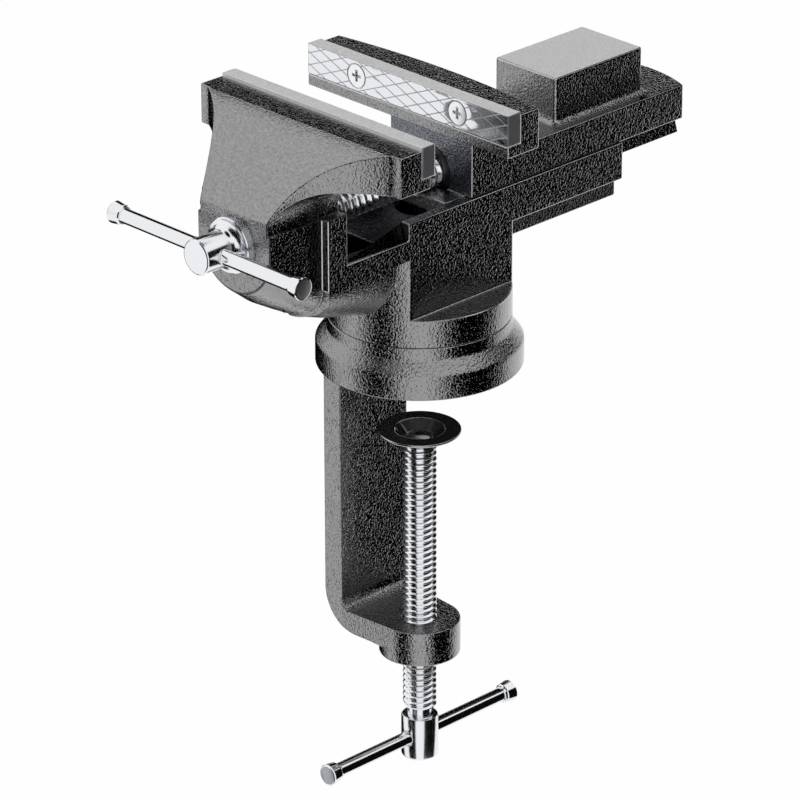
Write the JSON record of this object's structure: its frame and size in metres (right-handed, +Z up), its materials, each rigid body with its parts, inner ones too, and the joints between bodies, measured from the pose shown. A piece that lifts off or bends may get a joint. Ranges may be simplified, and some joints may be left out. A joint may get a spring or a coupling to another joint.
{
  "type": "clamp-on bench vise",
  "caption": "Small bench vise that clamps to a table edge: swivel seat, dovetail slide with an anvil, plated jaws and two T-bar screws.",
  "frame": {"origin": "centre of the flange's flat underside, which sits on the bench top; the swivel axis and the clamp screw pass through it", "axes": "+Z up, +X along the jaws (to the right for someone at the handle), +Y from the handle to the anvil"},
  "size_m": [0.08, 0.1807, 0.2156],
  "materials": {
    "paint": "black hammer-texture gloss paint on cast iron",
    "pad_paint": "smooth gloss black",
    "jaw_steel": "ground, with a cut diamond grip",
    "bright_steel": "bright zinc plate",
    "chrome": "polished chrome plate",
    "dark_steel": "black oxide"
  },
  "bodies": {
    "frame": {"clamp_frame": "paint", "swivel_bolt": "dark_steel", "disc_spring": "dark_steel"},
    "body": {"vise_body": "paint", "front_jaw_plate": "jaw_steel", "front_jaw_screws": "bright_steel"},
    "slide": {"sliding_jaw": "paint", "rear_jaw_plate": "jaw_steel", "rear_jaw_screws": "bright_steel", "lead_nut": "dark_steel", "nut_pin": "dark_steel"},
    "spindle": {"lead_screw": "chrome", "thrust_washer": "bright_steel", "retaining_collar": "dark_steel", "collar_pin": "dark_steel"},
    "handle": {"handle_bar": "chrome", "handle_cap_left": "chrome", "handle_cap_right": "chrome"},
    "pad": {"clamp_pad": "pad_paint"},
    "clamp_spindle": {"clamp_screw": "chrome"},
    "clamp_handle": {"clamp_bar": "chrome", "clamp_cap_front": "chrome", "clamp_cap_back": "chrome"}
  },
  "joints": [
    {"name": "swivel", "type": "hinge", "parent": "frame", "child": "body", "pos_m": [0, 0, 0.0147], "axis": [0, 0, 1], "continuous": true},
    {"name": "lead_screw_turn", "type": "hinge", "parent": "body", "child": "spindle", "pos_m": [0, -0.0716, 0.0571], "axis": [0, 1, 0], "range_deg": [-4321, 4062]},
    {"name": "jaw_slide", "type": "slide", "parent": "body", "child": "slide", "axis": [0, 1, 0], "range_m": [-0.0282, 0.03]},
    {"name": "handle_slide", "type": "slide", "parent": "spindle", "child": "handle", "axis": [1, 0, 0], "range_m": [-0.0267, 0.0303]},
    {"name": "pad_lift", "type": "slide", "parent": "frame", "child": "pad", "axis": [0, 0, 1], "range_m": [-0.05132, 0.02092]},
    {"name": "clamp_screw_turn", "type": "hinge", "parent": "pad", "child": "clamp_spindle", "pos_m": [0, 0, -0.03], "axis": [0, 0, 1], "range_deg": [-9720, 3960]},
    {"name": "clamp_bar_slide", "type": "slide", "parent": "clamp_spindle", "child": "clamp_handle", "axis": [0, 1, 0], "range_m": [-0.0284, 0.028]}
  ],
  "couplings": [
    {"joint": "lead_screw_turn", "follows": "jaw_slide", "rad_per_m": -2513.3},
    {"joint": "pad_lift", "follows": "clamp_screw_turn", "m_per_rad": 0.00030239}
  ]
}
